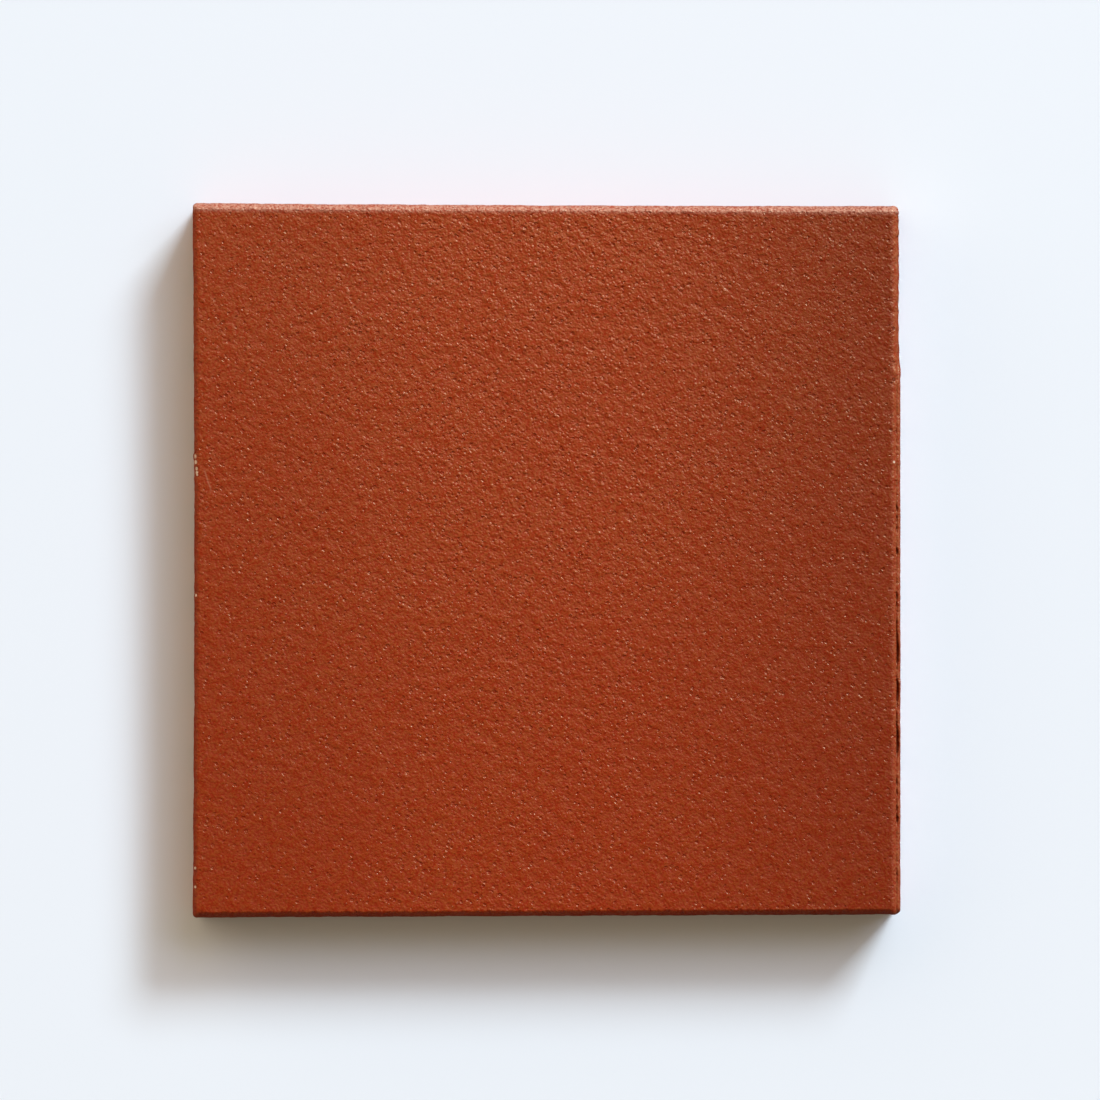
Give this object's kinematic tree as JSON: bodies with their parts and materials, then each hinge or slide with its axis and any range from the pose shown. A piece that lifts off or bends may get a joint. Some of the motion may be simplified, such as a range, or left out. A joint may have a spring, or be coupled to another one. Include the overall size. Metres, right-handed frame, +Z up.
{
  "type": "quarry tile",
  "caption": "Square unglazed red clay floor tile with eased arrises, a grainy matt wearing face, wire-cut ends and a grooved back that keys into its mortar bed.",
  "frame": {"origin": "middle of the bed, on the flat ribs of the back, under the centre of the tile's outline", "axes": "+X along the extrusion, from the left cut end to the right one with the smeared lip; +Y across the tile; +Z up, out of the wearing face"},
  "size_m": [0.15, 0.1514, 0.0125],
  "materials": {
    "fired_clay": "matte"
  },
  "bodies": {
    "root": {"quarry_tile": "fired_clay"}
  },
  "joints": []
}
